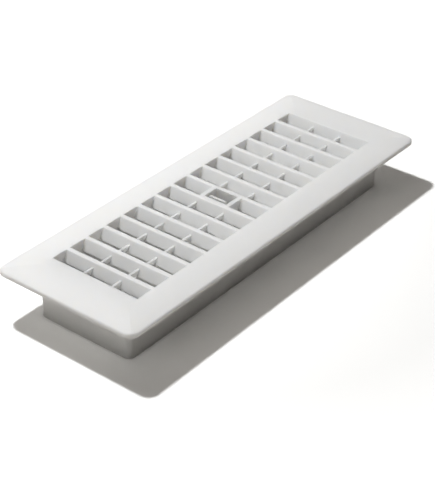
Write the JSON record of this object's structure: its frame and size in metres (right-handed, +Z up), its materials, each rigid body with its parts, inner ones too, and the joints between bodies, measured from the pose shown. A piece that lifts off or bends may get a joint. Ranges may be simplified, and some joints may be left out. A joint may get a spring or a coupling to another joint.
{
  "type": "louvered vent cover (drop-in floor register)",
  "caption": "Drop-in floor register in white moulded plastic: crowned faceplate, louvered grille with a thumb lever in a framed window, plain neck and a linked vane damper inside.",
  "frame": {"origin": "centre of the neck's foot, at the bottom of the part", "axes": "+X along the faceplate towards the end that the thumb lever closes to, +Y across it, +Z up out of the faceplate"},
  "size_m": [0.2794, 0.1016, 0.0348],
  "materials": {
    "faceplate_plastic": "satin",
    "damper_plastic": "satin"
  },
  "bodies": {
    "faceplate": {"faceplate_grille": "faceplate_plastic"},
    "link": {"damper_link": "damper_plastic"},
    "vane_01": {"damper_vane_01": "damper_plastic"},
    "vane_02": {"damper_vane_02": "damper_plastic"},
    "vane_03": {"damper_vane_03": "damper_plastic"},
    "vane_04": {"damper_vane_04": "damper_plastic"},
    "vane_05": {"damper_vane_05": "damper_plastic"},
    "vane_06": {"damper_vane_06": "damper_plastic"},
    "vane_07": {"damper_vane_07": "damper_plastic"},
    "vane_08": {"damper_vane_08": "damper_plastic"},
    "vane_09": {"damper_vane_09": "damper_plastic"},
    "vane_10": {"damper_vane_10": "damper_plastic"}
  },
  "joints": [
    {"name": "vane_01_turn", "type": "hinge", "parent": "faceplate", "child": "vane_01", "pos_m": [-0.10431, 0, 0.01465], "axis": [0, 1, 0], "range_deg": [0, 80]},
    {"name": "vane_02_turn", "type": "hinge", "parent": "faceplate", "child": "vane_02", "pos_m": [-0.08113, 0, 0.01465], "axis": [0, 1, 0], "range_deg": [0, 80]},
    {"name": "vane_03_turn", "type": "hinge", "parent": "faceplate", "child": "vane_03", "pos_m": [-0.05795, 0, 0.01465], "axis": [0, 1, 0], "range_deg": [0, 80]},
    {"name": "vane_04_turn", "type": "hinge", "parent": "faceplate", "child": "vane_04", "pos_m": [-0.03477, 0, 0.01465], "axis": [0, 1, 0], "range_deg": [0, 80]},
    {"name": "vane_05_turn", "type": "hinge", "parent": "faceplate", "child": "vane_05", "pos_m": [-0.01159, 0, 0.01465], "axis": [0, 1, 0], "range_deg": [0, 80]},
    {"name": "vane_06_turn", "type": "hinge", "parent": "faceplate", "child": "vane_06", "pos_m": [0.01159, 0, 0.01465], "axis": [0, 1, 0], "range_deg": [0, 80]},
    {"name": "vane_07_turn", "type": "hinge", "parent": "faceplate", "child": "vane_07", "pos_m": [0.03477, 0, 0.01465], "axis": [0, 1, 0], "range_deg": [0, 80]},
    {"name": "vane_08_turn", "type": "hinge", "parent": "faceplate", "child": "vane_08", "pos_m": [0.05795, 0, 0.01465], "axis": [0, 1, 0], "range_deg": [0, 80]},
    {"name": "vane_09_turn", "type": "hinge", "parent": "faceplate", "child": "vane_09", "pos_m": [0.08113, 0, 0.01465], "axis": [0, 1, 0], "range_deg": [0, 80]},
    {"name": "vane_10_turn", "type": "hinge", "parent": "faceplate", "child": "vane_10", "pos_m": [0.10431, 0, 0.01465], "axis": [0, 1, 0], "range_deg": [0, 80]},
    {"name": "link_pivot", "type": "hinge", "parent": "vane_05", "child": "link", "pos_m": [-0.01484, 0, 0.01853], "axis": [0, 1, 0], "range_deg": [-80, 0]}
  ],
  "couplings": [
    {"joint": "vane_01_turn", "follows": "vane_05_turn", "ratio": 1},
    {"joint": "vane_02_turn", "follows": "vane_05_turn", "ratio": 1},
    {"joint": "vane_03_turn", "follows": "vane_05_turn", "ratio": 1},
    {"joint": "vane_04_turn", "follows": "vane_05_turn", "ratio": 1},
    {"joint": "vane_06_turn", "follows": "vane_05_turn", "ratio": 1},
    {"joint": "vane_07_turn", "follows": "vane_05_turn", "ratio": 1},
    {"joint": "vane_08_turn", "follows": "vane_05_turn", "ratio": 1},
    {"joint": "vane_09_turn", "follows": "vane_05_turn", "ratio": 1},
    {"joint": "vane_10_turn", "follows": "vane_05_turn", "ratio": 1},
    {"joint": "link_pivot", "follows": "vane_05_turn", "ratio": -1}
  ]
}
